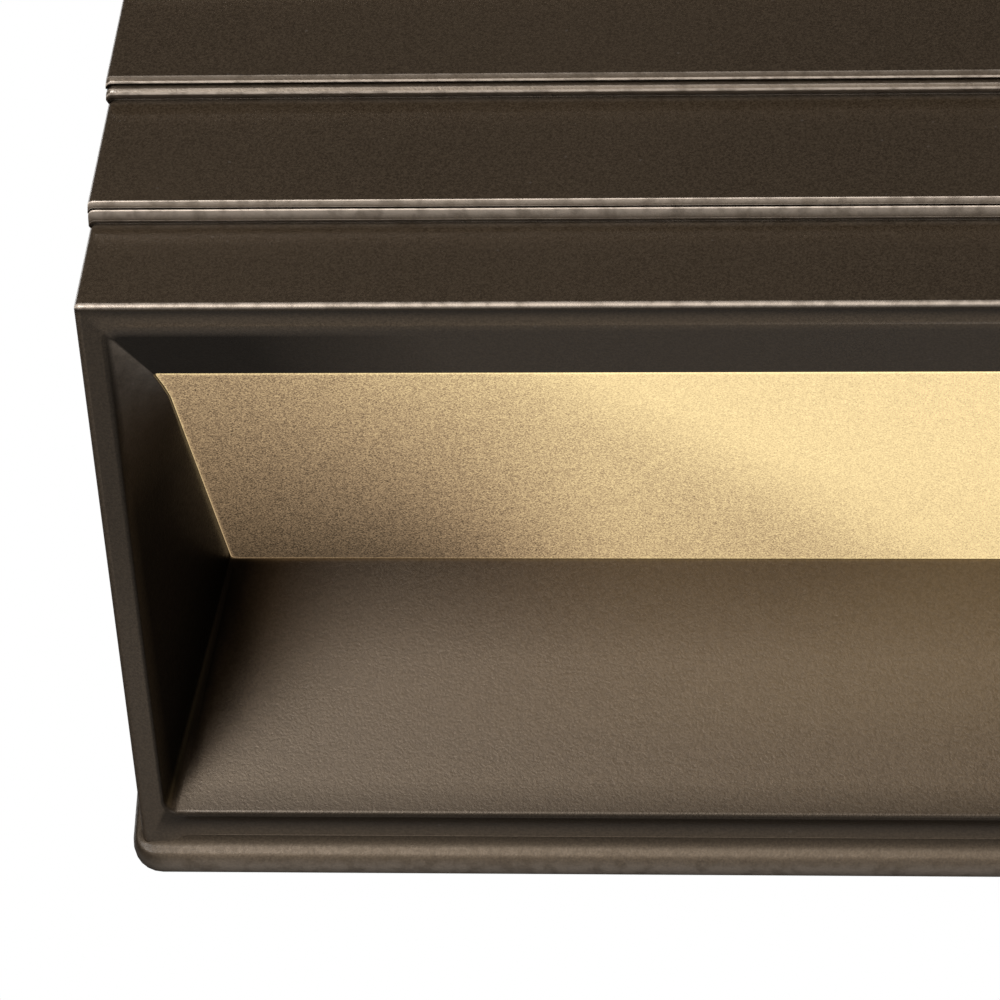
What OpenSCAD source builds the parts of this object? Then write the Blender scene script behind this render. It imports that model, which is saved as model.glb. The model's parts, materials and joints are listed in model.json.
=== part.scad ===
/* [Hood casting] */
// Width of the hood across its two side walls
hood_w = 140; // [120:1:190]
// Distance from the wall to the nose, the front edge of the hood
hood_depth = 46.5; // [44:0.1:54]
// Thickness of the cast walls
wall_t = 2.1; // [1.8:0.1:2.6]
// Radius along the cast edges that show as bright lines
edge_r = 0.45; // [0.2:0.05:0.7]
// Angle of the open mouth below the horizontal
mouth_angle = 30.2; // [27:0.1:34]
// Height of the nose in the wall frame, below the plate's middle
nose_drop = 9.2; // [7:0.1:11]

/* [Louvers] */
// Height of the lowest louver band, nose to lip
band_first = 9.8; // [8:0.1:12]
// Height of each louver band above it, lip to lip
band_pitch = 11.65; // [9:0.05:13]
// Number of steps between louver bands
step_count = 3; // [2:1:3]
// How far each louver band leans back
band_lean = 22.6; // [16:0.1:26]
// Depth of each step, from its lip back to its groove
step_in = 2.07; // [1.4:0.01:2.4]
// Drop of each step from its lip down to its groove
step_drop = 0.5; // [0.4:0.01:1.1]
// Height of the plain band above the top lip
crown_h = 7.6; // [6:0.1:10]
// Radius where the top band turns into the roof
roof_r = 2.4; // [1.5:0.1:3.5]
// Slope of the roof, up towards the wall
roof_slope = 5.5; // [3:0.1:8]

/* [Back flange] */
// Overhang of the flange beyond the side walls
flange_side = 1.0; // [0.6:0.1:2]
// Overhang of the flange below the mouth and above the roof
flange_edge = 1.7; // [1.3:0.1:2.5]
// Radius of the flange's corners
flange_corner_r = 2.5; // [2.4:0.1:3.2]
// Radius along the flange's front edge
flange_edge_r = 1.1; // [0.6:0.05:1.15]
// Gap between the flange and the wall
flange_gap = 0.4; // [0.2:0.1:0.8]

/* [Mouth and lens ledge] */
// Width of the front rail, in the plane of the mouth
front_rail = 1.8; // [1.5:0.05:2.6]
// Width of the bottom rail, in the plane of the mouth
bottom_rail = 3.02; // [2.4:0.02:3.6]
// Depth from the nose to the front edge of the lens opening
opening_front = 7.1; // [6.5:0.1:9]
// Depth of that front edge below the nose
opening_drop = 2.2; // [1.8:0.1:3]
// Slope of the lens, down towards the wall
lens_tilt = 0; // [0:0.1:4]
// Inset of the lens opening from the inner faces of the side walls
opening_inset = 3.6; // [2.6:0.1:4.5]
// Radius of the corners of the lens opening
opening_corner_r = 1.4; // [0.8:0.1:2]
// Thickness of the ledge that carries the lens
ledge_t = 1.2; // [1:0.1:1.6]
// Overlap of the lens on its ledge
lens_overlap = 1.5; // [1.2:0.1:2]

/* [Lens and clips] */
// Thickness of the lens
lens_t = 3; // [2:0.1:4]
// Thickness of the seal under the lens
seal_t = 0.6; // [0.4:0.1:1]
// Width of the seal's strip
seal_w = 1.1; // [0.8:0.1:1.4]
// Thickness of each lens clip's strip
clip_t = 0.8; // [0.6:0.1:1.2]
// Width of each lens clip
clip_w = 7; // [6:0.1:9]
// Reach of each clip's foot over the lens
clip_foot = 5; // [4:0.1:7]
// Height of each clip's screw above the lens
clip_h = 6.5; // [6:0.1:8]
// Depth of the clip screws behind the nose
clip_depth = 15; // [13:0.1:18]
// Diameter of the clip screws
clip_screw_d = 3; // [2.5:0.1:3.5]
// Length of the bosses that the clips bear on
clip_boss_l = 2; // [1.5:0.1:3]

/* [Set screws] */
// Diameter of the two set screws in the sides of the hood
set_screw_d = 4; // [3.5:0.1:5]
// Length of each set screw's thread
set_screw_l = 5.4; // [4.6:0.1:6]
// Diameter of each set screw's dog point
dog_d = 2.8; // [2:0.1:3]
// Length of each dog point
dog_l = 2.6; // [2.2:0.1:3]
// Width across the flats of each set screw's hexagon socket
hex_af = 2; // [1.5:0.1:2.5]
// Distance of the set screws from the wall
set_screw_out = 9; // [8:0.1:11]
// Height of the set screws in the wall frame
set_screw_z = 14; // [12:0.1:17]
// Diameter of the bosses that hold the set screws
set_boss_d = 8; // [7:0.1:9]
// Length of those bosses inside the side walls
set_boss_l = 3.6; // [3:0.1:4]

/* [Wall plate] */
// Thickness of the plate
plate_t = 1.2; // [1:0.1:1.4]
// Thickness of the gasket behind it
gasket_t = 0.8; // [0.6:0.1:1]
// Clearance between the plate's edge and the hood
plate_gap = 0.5; // [0.3:0.1:0.8]
// Distance between the two wall screws
wall_screw_spacing = 104; // [96:1:106]
// Height of the wall screws in the wall frame
wall_screw_z = -1.5; // [-2:0.5:1]
// Width of the slots for the wall screws
slot_w = 4.6; // [4:0.1:5.2]
// Length of the straight middle of those slots
slot_run = 5; // [3:0.5:6]
// Height of the two ears that take the set screws
ear_h = 12; // [11:0.5:14]
// Reach of the ears from the plate's front face
ear_reach = 12; // [11.5:0.5:14]

/* [Supply entry] */
// Diameter of the plate's hole for the supply lead
entry_d = 11; // [10:0.1:12]
// Diameter of the hole through the rubber grommet
grommet_bore_d = 7; // [6:0.1:8]
// Thickness of the grommet's two lips
grommet_lip = 0.7; // [0.5:0.1:0.75]
// Distance of the supply entry to the right of the middle
entry_x = 6; // [4:0.5:8]
// Height of the supply entry in the wall frame
entry_z = 9; // [8:0.5:11]

/* [Terminal block] */
// Length of the block, across its two ways
block_w = 18; // [17:0.5:20]
// Height of the block, along its wires
block_h = 14; // [13:0.5:16]
// Thickness of the block out from the plate
block_t = 7.4; // [7:0.1:8]
// Distance of the block's middle to the right of the middle
block_x = 30; // [28:0.5:32]
// Distance between its two ways
way_pitch = 10; // [9:0.5:11]
// Diameter of each way's wire hole
way_d = 3; // [2.6:0.1:3.2]
// Diameter of the brass tubes in the block
insert_d = 4.4; // [4:0.1:4.8]
// Diameter of the terminal screws
terminal_screw_d = 2.5; // [2:0.1:3]

/* [Lamp and holder] */
// Diameter of the lamp's glass
lamp_d = 15.6; // [14:0.1:16]
// Length of the lamp's round glass
lamp_l = 27; // [24:0.5:30]
// Thickness of the lamp's glass
glass_t = 0.7; // [0.5:0.1:1]
// Length of the flat wedge base
wedge_l = 9.5; // [8:0.1:10]
// Width of the wedge base
wedge_w = 9.4; // [8.5:0.1:9.8]
// Thickness of the wedge base
wedge_t = 2.1; // [1.8:0.1:2.4]
// Distance of the lamp's middle from the wall
lamp_out = 21.3; // [21:0.1:24]
// Height of the lamp's middle in the wall frame
lamp_z = 11.5; // [10:0.1:13]
// Distance of the glass's base end to the left of the middle
lamp_start = 12; // [10:0.5:14]
// Diameter of the lampholder
holder_d = 14.5; // [14:0.1:16]
// Length of the lampholder
holder_l = 15; // [14:0.5:17]
// Thickness of the bracket and reflector sheet
sheet_t = 0.8; // [0.6:0.1:1]
// Diameter of the insulated leads
lead_d = 1.6; // [1.2:0.1:2]

/* [Reflector] */
// Width of the reflector
reflector_w = 92; // [84:1:94]
// Distance of the reflector's face from the wall
reflector_out = 11.2; // [10.6:0.1:12]
// Height of its upright face
reflector_h = 26; // [22:0.5:28]
// Height of its lower edge in the wall frame
reflector_z = -1; // [-1.5:0.1:1]
// Length of its upper wing
wing_l = 12; // [8:0.5:14]
// Angle of that wing above the horizontal
wing_angle = 20; // [10:1:24]
// Width of its two feet
foot_w = 8; // [7:0.5:10]

/* [Hidden] */
$fn = 48;

// Clearance of a screw or lead in the hole that it passes through
hole_gap = 0.05;
// Clearance between pieces that move past each other
move_gap = 0.3;
// Overshoot of cuts that run out through a face
over = 1;
// Steps in each rounded corner of an outline
corner_steps = 6;

// Faces of the wall plate and its gasket, counted out from the wall
plate_back = -gasket_t;
plate_front = plate_back - plate_t;

// Faces of the hood
nose_y = -hood_depth;
nose_z = -nose_drop;
flange_back = -flange_gap;
flange_front = flange_back - wall_t;
mouth_run = flange_front - nose_y;
mouth_fall = mouth_run * tan(mouth_angle);
back_run = mouth_run - bottom_rail * cos(mouth_angle);
pocket_run = back_run + wall_t;
inner_w = hood_w - 2 * wall_t;

// Louver bands, each lip given as its setback and height from the nose
function lip_h(i) = i == 0 ? 0 : band_first + (i - 1) * band_pitch;
function groove_h(i) = lip_h(i) - step_drop;
function groove_in(i) = lip_in(i - 1) + (groove_h(i) - lip_h(i - 1)) * tan(band_lean);
function lip_in(i) = i == 0 ? 0 : groove_in(i) - step_in;
crown_top = lip_h(step_count) + crown_h;
crown_in = lip_in(step_count) + crown_h * tan(band_lean);
function roof_h(run) = crown_top + (run - crown_in) * tan(roof_slope);

// Flange outline
flange_w = hood_w + 2 * flange_side;
flange_bottom = nose_z - mouth_fall - flange_edge;
flange_top = nose_z + roof_h(mouth_run) + flange_edge;

// Plate outline, inside the pocket behind the hood
pocket_bottom = nose_z - mouth_fall + wall_t;
pocket_top = nose_z + roof_h(mouth_run) - wall_t;
plate_w = inner_w - 2 * plate_gap;
plate_bottom = pocket_bottom + plate_gap;
plate_top = pocket_top - plate_gap;

// Lens opening, in the tilted plane of the ledge's underside
opening_w = inner_w - 2 * opening_inset;
opening_l = (back_run - opening_front) / cos(lens_tilt);
lens_bottom = ledge_t + seal_t;
lens_top = lens_bottom + lens_t;
lens_w = opening_w + 2 * lens_overlap;
lens_l = opening_l + 2 * lens_overlap;

// Ears and set screws
boss_face = inner_w / 2 - set_boss_l;
ear_gap = 0.5;
ear_out = boss_face - ear_gap;
ear_in = ear_out - plate_t;
screw_recess = 0.2;
slot_gap = 0.4;

// Lens clips
clip_boss_d = clip_w;
clip_face = inner_w / 2 - clip_boss_l;
clip_play = 0.1;
clip_head_d = 5.4;
clip_head_t = 1.5;
clip_hole_l = clip_boss_l + wall_t / 2;
drive_slot = 0.8;

// Lamp, its holder and the wedge slot
lamp_y = -lamp_out;
lamp_x = -lamp_start;
neck_r = lamp_d / 3;
neck_l = 3;
wedge_gap = 0.15;
contact_t = 0.4;
contact_w = 3;
holder_x = lamp_x - over;
holder_back = holder_x - holder_l;
slot_depth = wedge_l;
slot_t = wedge_t + 2 * (wedge_gap + contact_t);
contact_y = wedge_t / 2 + wedge_gap + contact_t / 2;
seat_z = lamp_z - holder_d / 2 - over / 2;
seat_w = 10;

// Bracket under the holder
bracket_foot_h = 13;
bracket_reach = holder_d / 2 + lamp_out + plate_front;
rivet_d = 2.4;
rivet_head_d = 4.4;
rivet_head_t = 0.8;
rivet_pitch = 6;
bracket_x = holder_x - holder_l / 2;

// Screws in sheet metal
screw_d = 3;
screw_head_d = 5.2;
screw_head_t = 1.6;

// Terminal block, standing on the plate
block_z = 9;
block_front = plate_front - block_t;
way_y = plate_front - block_t / 2;
insert_setback = 1;
insert_l = block_h - 2 * insert_setback;
terminal_head_d = 3.4;
terminal_head_t = 1.2;
terminal_inset = 3.5;

// Leads, from the back of the holder down behind the reflector to the block
lead_bend = 3;
lead_in = 3;
lead_drop = 5;
lead_y = way_y;
lead_far = holder_back - lead_bend - lead_in - 2 * lead_d;

// Reflector
wing_y = -reflector_out - sheet_t;
leg_h = 12;
reflector_mid = reflector_z + reflector_h / 2;
notch_gap = 2;

// Rounds the corners of an outline, one radius for each corner
function unit(v) = v / norm(v);
function turn_between(a, b) = b - a > 180 ? b - a - 360 : b - a < -180 ? b - a + 360 : b - a;
function rounded_corner(p, q, r, radius) = let(
    u = unit(p - q), w = unit(r - q), half = acos(u * w) / 2,
    reach = min(radius / tan(half), 0.45 * min(norm(p - q), norm(r - q))),
    size = reach * tan(half), centre = q + unit(u + w) * size / sin(half),
    first = q + u * reach - centre, last = q + w * reach - centre,
    start = atan2(first[1], first[0]),
    turn = turn_between(start, atan2(last[1], last[0])))
    [for (k = [0:corner_steps]) centre + size *
        [cos(start + turn * k / corner_steps), sin(start + turn * k / corner_steps)]];
function rounded_outline(points, radii) = let(n = len(points))
    [for (i = [0:n - 1]) each radii[i] == 0 ? [points[i]] :
        rounded_corner(points[(i + n - 1) % n], points[i], points[(i + 1) % n], radii[i])];

// A rectangle about its middle, with four round corners
module rounded_rect(w, h, r) {
    square([w - 2 * r, h], center = true);
    square([w, h - 2 * r], center = true);
    for (x = [-1, 1], y = [-1, 1])
        translate([x * (w / 2 - r), y * (h / 2 - r)]) circle(r);
}

// Side outlines are drawn as depth and height from the nose, and run across the hood
module across(w) {
    translate([-w / 2, nose_y, nose_z]) rotate([90, 0, 90]) linear_extrude(w) children();
}

// The tilted frame of the lens: its origin is the middle of the opening's front edge
module on_ledge() {
    translate([0, nose_y + opening_front, nose_z - opening_drop])
        rotate([-lens_tilt, 0, 0]) children();
}

// A cylinder along X, or out from the wall along -Y
module rod_x(d, l) { rotate([0, 90, 0]) cylinder(d = d, h = l); }
module rod_out(d, l) { rotate([90, 0, 0]) cylinder(d = d, h = l); }

// Left and right sides of the hood
module both_sides() {
    children();
    mirror([1, 0, 0]) children();
}

module louver_outline() {
    steps = [for (i = [1:step_count]) each [
        [groove_in(i), groove_h(i)], [lip_in(i), lip_h(i)]]];
    step_radii = [for (i = [1:step_count]) each [edge_r, edge_r]];
    back = mouth_run + wall_t;
    polygon(rounded_outline(
        concat([[0, 0]], steps, [[crown_in, crown_top], [mouth_run, roof_h(mouth_run)],
            [back, roof_h(mouth_run)], [back, -mouth_fall], [mouth_run, -mouth_fall]]),
        concat([edge_r], step_radii, [roof_r, 0, 0, 0, 0])));
}

// Room for the lamp, above the ledge and open at the back
module chamber_outline() {
    function floor_h(run) = -opening_drop - (run - opening_front) * tan(lens_tilt)
        + ledge_t / cos(lens_tilt);
    front = opening_front - lens_overlap - move_gap;
    back = mouth_run + wall_t + over;
    polygon([
        [front, floor_h(front)], [front, floor_h(front) + seal_t + lens_t + move_gap],
        [groove_in(step_count) + wall_t, groove_h(step_count)],
        [crown_in + wall_t, crown_top - wall_t],
        [mouth_run, roof_h(mouth_run) - wall_t], [back, roof_h(mouth_run) - wall_t],
        [back, floor_h(back)]]);
}

// The hollow of the mouth, tapering from the rails to the lens opening
module mouth_hollow() {
    rim = inner_w / 2;
    slot = opening_w / 2;
    front = front_rail * cos(mouth_angle);
    fall = tan(mouth_angle);
    outline = [
        [rim, front + wall_t, -front * fall - 3 * wall_t], [rim, front, -front * fall],
        [slot, opening_front, -opening_drop],
        [slot, back_run, -opening_drop - (back_run - opening_front) * tan(lens_tilt)],
        [rim, back_run, -back_run * fall], [rim, back_run, -back_run * fall - 3 * wall_t]];
    n = len(outline);
    points = [for (side = [-1, 1], p = outline) [side * p[0], nose_y + p[1], nose_z + p[2]]];
    walls = [for (i = [0:n - 1]) [i, (i + 1) % n, n + (i + 1) % n, n + i]];
    left = [[0, 5, 4], [0, 4, 1], [1, 4, 3], [1, 3, 2]];
    right = [for (f = left) [n + f[2], n + f[1], n + f[0]]];
    polyhedron(points, concat(walls, left, right));
}

// Flange with round corners, drawn in by steps round its front edge
module back_flange() {
    h = flange_top - flange_bottom;
    e = flange_edge_r;
    slice = 0.02;
    translate([0, flange_back, (flange_top + flange_bottom) / 2]) rotate([90, 0, 0]) hull() {
        linear_extrude(slice) rounded_rect(flange_w, h, flange_corner_r, $fn = 32);
        for (a = [0:22.5:90]) translate([0, 0, wall_t - e + e * sin(a) - slice])
            linear_extrude(slice) rounded_rect(flange_w - 2 * e * (1 - cos(a)),
                h - 2 * e * (1 - cos(a)), flange_corner_r - e * (1 - cos(a)), $fn = 32);
    }
}

module set_screw_axis(side, x) {
    translate([side * x, -set_screw_out, set_screw_z]) rotate([0, side > 0 ? 0 : 180, 0])
        children();
}

module clip_axis() {
    on_ledge() translate([0, clip_depth - opening_front, lens_top + clip_h]) children();
}

module louvered_housing() {
    color([0.21, 0.17, 0.13]) difference() {
        union() {
            difference() {
                union() {
                    across(hood_w) louver_outline();
                    back_flange();
                }
                across(inner_w) chamber_outline();
            }
            both_sides() set_screw_axis(1, boss_face) rod_x(set_boss_d, set_boss_l + over);
            both_sides() clip_axis() translate([clip_face, 0, 0])
                rod_x(clip_boss_d, clip_boss_l + over);
        }
        mouth_hollow();
        translate([-inner_w / 2, nose_y + pocket_run, pocket_bottom])
            cube([inner_w, wall_t * 2, pocket_top - pocket_bottom]);
        on_ledge() translate([0, opening_l / 2, -over]) linear_extrude(ledge_t + 2 * over)
            rounded_rect(opening_w, opening_l, opening_corner_r);
        both_sides() set_screw_axis(1, boss_face - over)
            rod_x(set_screw_d + 2 * hole_gap, set_boss_l + wall_t + 2 * over);
        both_sides() clip_axis() translate([clip_face - over, 0, 0])
            rod_x(clip_screw_d + 2 * hole_gap, clip_hole_l + over);
    }
}

// A plate on the ledge, with a pad that fills the opening flush with the ledge's underside
module lens() {
    color([0.96, 0.87, 0.68]) on_ledge() translate([0, opening_l / 2, 0]) {
        translate([0, 0, lens_bottom]) linear_extrude(lens_t)
            rounded_rect(lens_w, lens_l, opening_corner_r);
        linear_extrude(lens_bottom + over) rounded_rect(opening_w - 2 * move_gap,
            opening_l - 2 * move_gap, opening_corner_r);
    }
}

module lens_seal() {
    play = 0.1;
    out = lens_overlap - play;
    in = out - seal_w;
    color([0.1, 0.1, 0.1]) on_ledge() translate([0, opening_l / 2, ledge_t])
        linear_extrude(seal_t) difference() {
            rounded_rect(opening_w + 2 * out, opening_l + 2 * out, opening_corner_r);
            rounded_rect(opening_w + 2 * in, opening_l + 2 * in, opening_corner_r);
        }
}

// Side outline of a clip: a round eye, and a strip down to a rounded toe
module clip_outline(toe_r) {
    circle(d = clip_w);
    intersection() {
        circle(toe_r);
        translate([-clip_w / 2, -2 * toe_r]) square([clip_w, 2 * toe_r]);
    }
}

// Strip that hangs from its screw and turns its curved foot in over the lens
module lens_clip() {
    x = clip_face - clip_play - clip_t;
    toe_r = clip_h - move_gap;
    clip_axis() translate([x, 0, 0]) rotate([90, 0, 90]) {
        linear_extrude(clip_t) difference() {
            clip_outline(toe_r);
            circle(d = clip_screw_d + 2 * hole_gap);
        }
        translate([0, 0, -clip_foot]) linear_extrude(clip_foot) difference() {
            clip_outline(toe_r);
            circle(toe_r - clip_t);
        }
    }
}
module lens_clip_left() { color([0.7, 0.7, 0.68]) mirror([1, 0, 0]) lens_clip(); }
module lens_clip_right() { color([0.7, 0.7, 0.68]) lens_clip(); }

module clip_screws() {
    head = clip_face - clip_t - 2 * clip_play;
    color([0.75, 0.75, 0.75]) both_sides() clip_axis() difference() {
        union() {
            translate([head, 0, 0]) rod_x(clip_screw_d, clip_hole_l + clip_t + clip_play);
            translate([head - clip_head_t, 0, 0]) rod_x(clip_head_d, clip_head_t);
        }
        translate([head - clip_head_t - over, -drive_slot / 2, -clip_head_d])
            cube([over + clip_head_t / 2, drive_slot, 2 * clip_head_d]);
    }
}

module set_screw() {
    start = hood_w / 2 - screw_recess - set_screw_l;
    set_screw_axis(1, start) difference() {
        union() {
            rod_x(set_screw_d, set_screw_l);
            translate([-dog_l, 0, 0]) rod_x(dog_d, dog_l + over);
        }
        translate([set_screw_l / 2, 0, 0]) rotate([0, 90, 0])
            cylinder(d = hex_af / cos(30), h = set_screw_l, $fn = 6);
    }
}
module set_screw_left() { color([0.3, 0.3, 0.3]) mirror([1, 0, 0]) set_screw(); }
module set_screw_right() { color([0.3, 0.3, 0.3]) set_screw(); }

// Outline of the plate, with the slots and the supply entry cut out
module plate_sheet(inset, slot_extra, entry) {
    mid = (plate_top + plate_bottom) / 2;
    difference() {
        translate([0, mid]) rounded_rect(plate_w - 2 * inset,
            plate_top - plate_bottom - 2 * inset, flange_corner_r);
        for (side = [-1, 1]) translate([side * wall_screw_spacing / 2, wall_screw_z]) {
            square([slot_run, slot_w + 2 * slot_extra], center = true);
            for (end = [-1, 1]) translate([end * slot_run / 2, 0])
                circle(d = slot_w + 2 * slot_extra);
        }
        translate([entry_x, entry_z]) circle(d = entry);
    }
}

// Stands a sheet up against the wall, its back face at y
module upright(y, t) {
    translate([0, y, 0]) rotate([90, 0, 0]) linear_extrude(t) children();
}

module wall_gasket() {
    color([0.12, 0.12, 0.12]) upright(0, gasket_t)
        plate_sheet(plate_gap, plate_gap, entry_d + grommet_lip * 5 + 2 * plate_gap);
}

// Places of the screws and rivets that hold pieces to the plate
foot_x = reflector_w / 2 + foot_w / 2;
fixings = [[-foot_x, reflector_mid, screw_d], [foot_x, reflector_mid, screw_d],
    [block_x, block_z, screw_d], [bracket_x, seat_z + rivet_pitch * 0.6, rivet_d],
    [bracket_x, seat_z + rivet_pitch * 1.6, rivet_d]];

module mounting_plate() {
    slot = dog_d + 2 * slot_gap;
    color([0.62, 0.62, 0.6]) difference() {
        union() {
            upright(plate_back, plate_t) plate_sheet(0, 0, entry_d);
            both_sides() translate([ear_in, plate_front - ear_reach, set_screw_z - ear_h / 2])
                cube([plate_t, ear_reach + plate_t / 2, ear_h]);
        }
        for (f = fixings) translate([f[0], plate_back + over, f[1]])
            rod_out(f[2] + 2 * hole_gap, plate_t + 2 * over);
        both_sides() translate([ear_in - over, -set_screw_out, set_screw_z]) {
            rod_x(slot, plate_t + 2 * over);
            translate([0, -ear_reach, -slot / 2]) cube([plate_t + 2 * over, ear_reach, slot]);
        }
    }
}

module cable_grommet() {
    lip_r = entry_d / 2 + grommet_lip * 2.5;
    bore_r = grommet_bore_d / 2;
    color([0.08, 0.08, 0.08]) translate([entry_x, plate_back + grommet_lip, entry_z])
        rotate([90, 0, 0]) rotate_extrude() translate([bore_r, 0]) {
            square([lip_r - bore_r, grommet_lip]);
            square([entry_d / 2 - bore_r, plate_t + 2 * grommet_lip]);
            translate([0, grommet_lip + plate_t]) square([lip_r - bore_r, grommet_lip]);
        }
}

module at_ways() {
    for (side = [-1, 1]) translate([block_x + side * way_pitch / 2, way_y, block_z]) children();
}

module at_terminals() {
    at_ways() for (end = [-1, 1])
        translate([0, 0, end * (block_h / 2 - terminal_inset)]) children();
}

module terminal_block() {
    head_gap = 0.2;
    color([0.9, 0.9, 0.86]) difference() {
        translate([block_x - block_w / 2, block_front, block_z - block_h / 2])
            cube([block_w, block_t, block_h]);
        at_ways() translate([0, 0, -block_h / 2 - over])
            cylinder(d = way_d, h = block_h + 2 * over);
        at_ways() translate([0, 0, -insert_l / 2]) cylinder(d = insert_d, h = insert_l);
        at_terminals() rod_out(terminal_head_d + 2 * head_gap, block_t);
        translate([block_x, plate_front + over, block_z])
            rod_out(screw_d + 2 * hole_gap, block_t + 2 * over);
        translate([block_x, block_front + screw_head_t + head_gap, block_z])
            rod_out(screw_head_d + 2 * head_gap, block_t);
    }
}

module terminal_inserts() {
    color([0.8, 0.65, 0.3]) difference() {
        at_ways() translate([0, 0, -insert_l / 2]) cylinder(d = insert_d, h = insert_l);
        at_ways() translate([0, 0, -insert_l / 2 - over])
            cylinder(d = way_d, h = insert_l + 2 * over);
        at_terminals() rod_out(terminal_screw_d + 2 * hole_gap, insert_d);
    }
}

module terminal_screws() {
    reach = block_t / 2 - terminal_head_t;
    start = lead_d / 2 + hole_gap;
    color([0.78, 0.78, 0.75]) at_terminals() difference() {
        union() {
            translate([0, -start, 0]) rod_out(terminal_screw_d, reach - start);
            translate([0, -reach, 0]) rod_out(terminal_head_d, terminal_head_t);
        }
        translate([-terminal_head_d, -reach - terminal_head_t - over, -drive_slot / 2])
            cube([2 * terminal_head_d, over + terminal_head_t / 2, drive_slot]);
    }
}

// A slotted screw out of the plate, its head standing on a face at height t
module plate_screw(t) {
    translate([0, plate_back, 0]) difference() {
        union() {
            rod_out(screw_d, plate_t + t);
            translate([0, -plate_t - t, 0]) rod_out(screw_head_d, screw_head_t);
        }
        translate([-screw_head_d, -plate_t - t - screw_head_t - over, -drive_slot / 2])
            cube([2 * screw_head_d, over + screw_head_t / 2, drive_slot]);
    }
}

module block_screw() {
    head_gap = 0.2;
    color([0.78, 0.78, 0.75]) translate([block_x, 0, block_z])
        plate_screw(block_t - screw_head_t - head_gap);
}

module reflector_screws() {
    color([0.78, 0.78, 0.75]) for (side = [-1, 1])
        translate([side * foot_x, 0, reflector_mid]) plate_screw(sheet_t);
}

// Angle bracket: its foot is riveted to the plate, its arm carries the holder
module socket_bracket() {
    color([0.66, 0.66, 0.64]) difference() {
        translate([bracket_x - seat_w / 2, plate_front - bracket_reach, seat_z - sheet_t]) {
            cube([seat_w, bracket_reach, sheet_t]);
            translate([0, bracket_reach - sheet_t, 0]) cube([seat_w, sheet_t, bracket_foot_h]);
        }
        for (f = fixings) translate([f[0], plate_front + over, f[1]])
            rod_out(f[2] + 2 * hole_gap, sheet_t + 2 * over);
        translate([bracket_x, lamp_y, seat_z - sheet_t - over])
            cylinder(d = rivet_d + 2 * hole_gap, h = sheet_t + 2 * over);
    }
}

module bracket_rivets() {
    color([0.75, 0.75, 0.75]) {
        for (k = [3, 4]) translate([fixings[k][0], plate_back, fixings[k][1]]) {
            rod_out(rivet_d, plate_t + sheet_t);
            translate([0, -plate_t - sheet_t, 0]) rod_out(rivet_head_d, rivet_head_t);
        }
        translate([bracket_x, lamp_y, seat_z - sheet_t]) {
            cylinder(d = rivet_d, h = sheet_t + over + sheet_t);
            translate([0, 0, -rivet_head_t]) cylinder(d = rivet_head_d, h = rivet_head_t);
        }
    }
}

module lampholder() {
    color([0.92, 0.91, 0.88]) difference() {
        union() {
            translate([holder_back, lamp_y, lamp_z]) rod_x(holder_d, holder_l);
            translate([holder_back, lamp_y - seat_w / 2, seat_z])
                cube([holder_l, seat_w, lamp_z - seat_z]);
        }
        translate([holder_x - slot_depth, lamp_y - slot_t / 2, lamp_z - wedge_w / 2 - wedge_gap])
            cube([slot_depth + over, slot_t, wedge_w + 2 * wedge_gap]);
        for (side = [-1, 1]) translate([holder_back - over,
                lamp_y + side * contact_y - contact_t / 2, lamp_z - contact_w / 2])
            cube([holder_l, contact_t, contact_w]);
        translate([bracket_x, lamp_y, seat_z - over])
            cylinder(d = rivet_d + 2 * hole_gap, h = 2 * over + sheet_t);
    }
}

module lamp_contacts() {
    color([0.8, 0.65, 0.3]) for (side = [-1, 1]) translate([holder_back,
            lamp_y + side * contact_y - contact_t / 2, lamp_z - contact_w / 2])
        cube([holder_l - over, contact_t, contact_w]);
}

// A lead of straight runs and quarter bends through a list of corners
module bent_lead(p) {
    last = len(p) - 1;
    for (i = [0:last - 1]) {
        u = unit(p[i + 1] - p[i]);
        from = i == 0 ? 0 : lead_bend;
        to = i == last - 1 ? 0 : lead_bend;
        side = abs(u[2]) > 0.5 ? [1, 0, 0] : [0, 0, 1];
        lay(side, cross(u, side), u, p[i] + u * from)
            cylinder(d = lead_d, h = norm(p[i + 1] - p[i]) - from - to);
    }
    for (i = [1:last - 1]) {
        a = unit(p[i - 1] - p[i]);
        b = unit(p[i + 1] - p[i]);
        lay(-b, -a, cross(b, a), p[i] + (a + b) * lead_bend)
            rotate_extrude(angle = 90) translate([lead_bend, 0]) circle(d = lead_d);
    }
}

// Lays a piece along three given axes at a given place
module lay(x, y, z, place) {
    multmatrix([[x[0], y[0], z[0], place[0]], [x[1], y[1], z[1], place[1]],
        [x[2], y[2], z[2], place[2]]]) children();
}

// Route of a lead, from the contact on the wall side (1) or the nose side (-1)
module lead(side) {
    x = lead_far + (1 + side) * lead_d;
    y = lamp_y + side * contact_y;
    low = seat_z - sheet_t - lead_drop - (1 - side) * lead_d;
    way = block_x - side * way_pitch / 2;
    bent_lead([[holder_back, y, lamp_z], [x, y, lamp_z], [x, lead_y, lamp_z],
        [x, lead_y, low], [way, lead_y, low], [way, lead_y, block_z - block_h / 2 + lead_in * 2]]);
}
module lead_left() { color([0.85, 0.85, 0.83]) lead(1); }
module lead_right() { color([0.1, 0.1, 0.1]) lead(-1); }

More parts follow.
